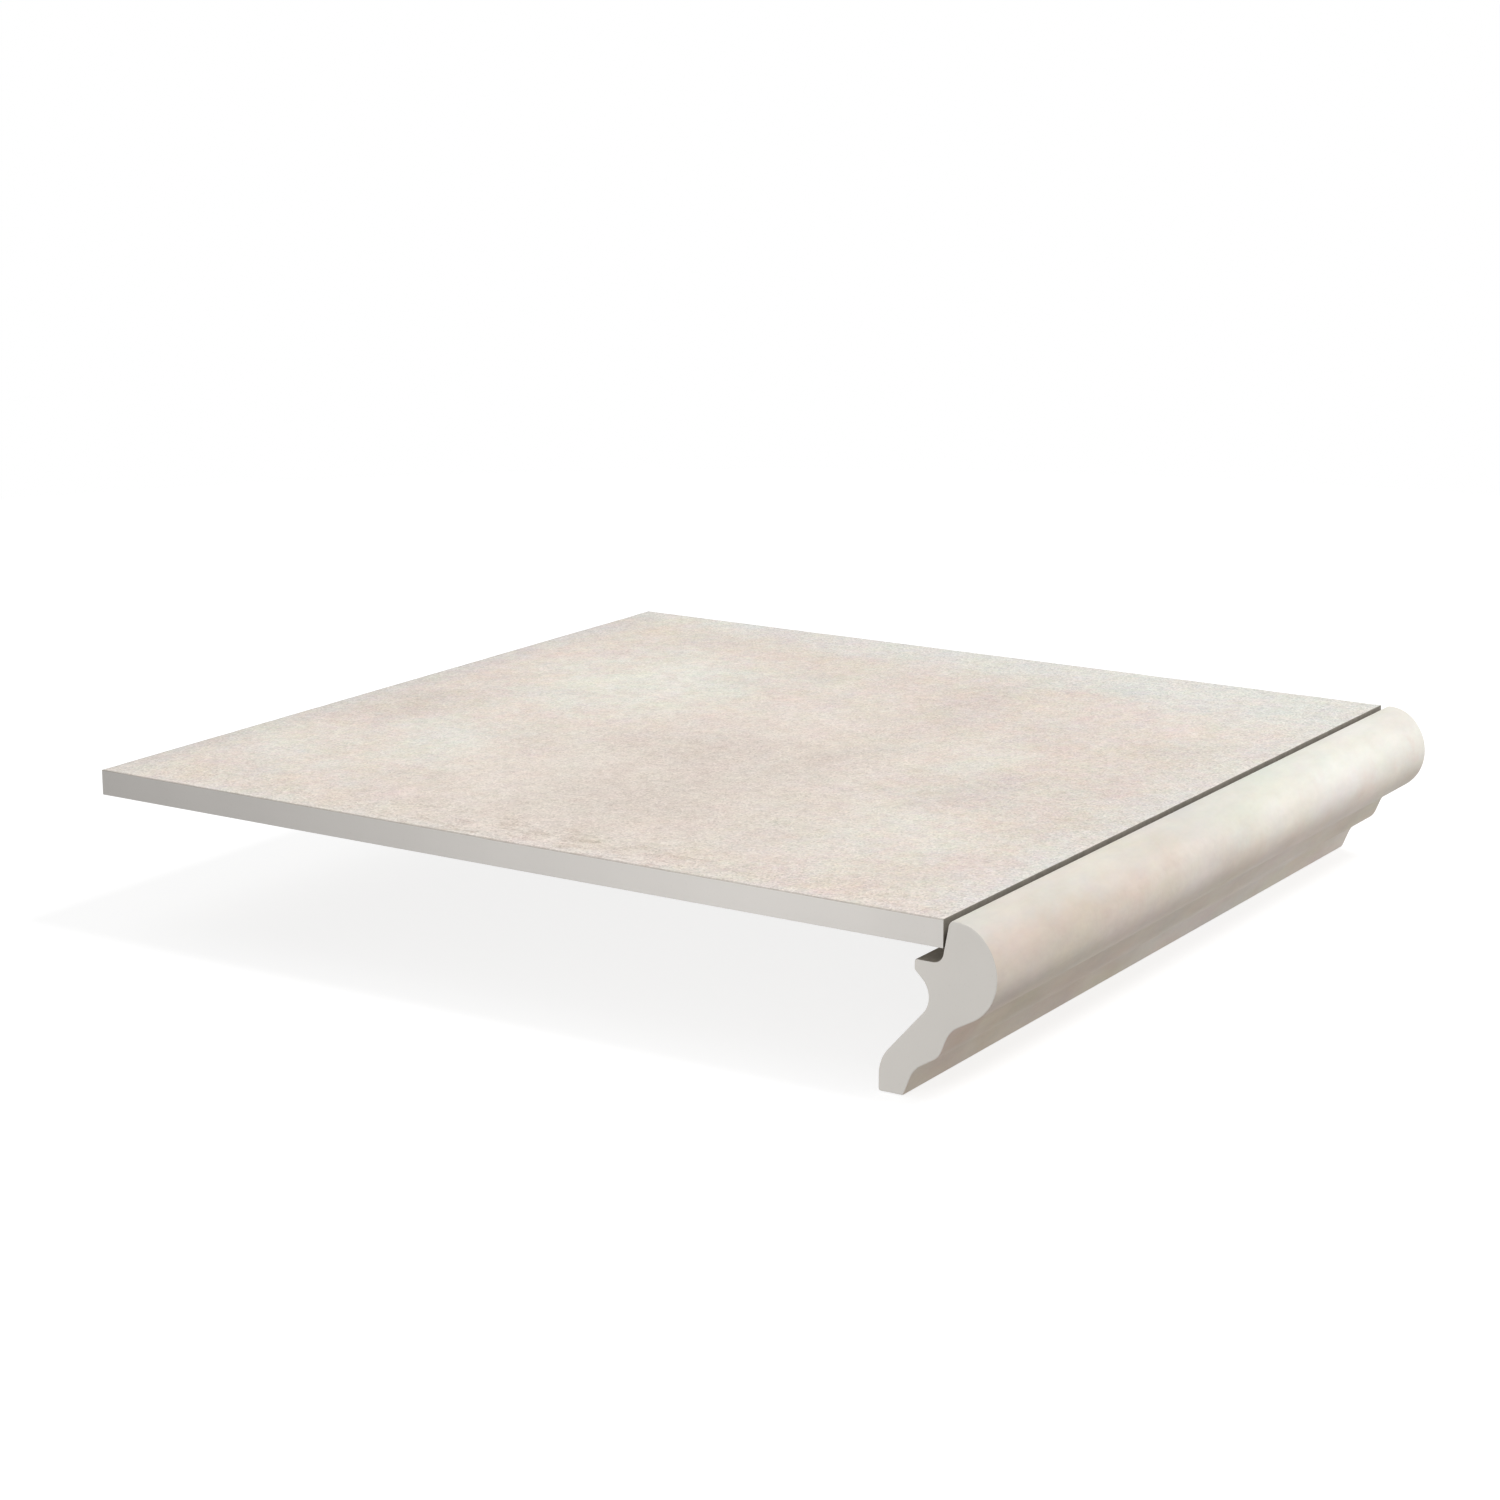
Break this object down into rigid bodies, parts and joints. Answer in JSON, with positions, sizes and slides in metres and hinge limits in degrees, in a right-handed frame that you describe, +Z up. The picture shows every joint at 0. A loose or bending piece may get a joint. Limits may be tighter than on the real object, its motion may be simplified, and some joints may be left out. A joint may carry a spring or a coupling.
{
  "type": "stair tread tile",
  "caption": "Square flat porcelain stair tread tile with a separate moulded bull-nose nosing strip along its front edge, with stepped drips, a foot and a lip under the tile.",
  "frame": {"origin": "centre of the bounding box's bottom face: on the floor that the nosing's foot stands on, under the middle of the tread", "axes": "+X along the nosing (the stair's width), +Y from the nosing to the tile's back edge, so the nose faces -Y, +Z up from the foot to the tread"},
  "size_m": [0.3, 0.3164, 0.0512],
  "materials": {
    "tile": "matt beige cement look with fine sandy speckle on top, plain light grey body on the edges and underside",
    "nosing": "satin cream glaze with soft mottling on the front and top, plain light grey body on the ends and back"
  },
  "bodies": {
    "root": {"tread_tile": "tile", "nosing": "nosing"}
  },
  "joints": []
}
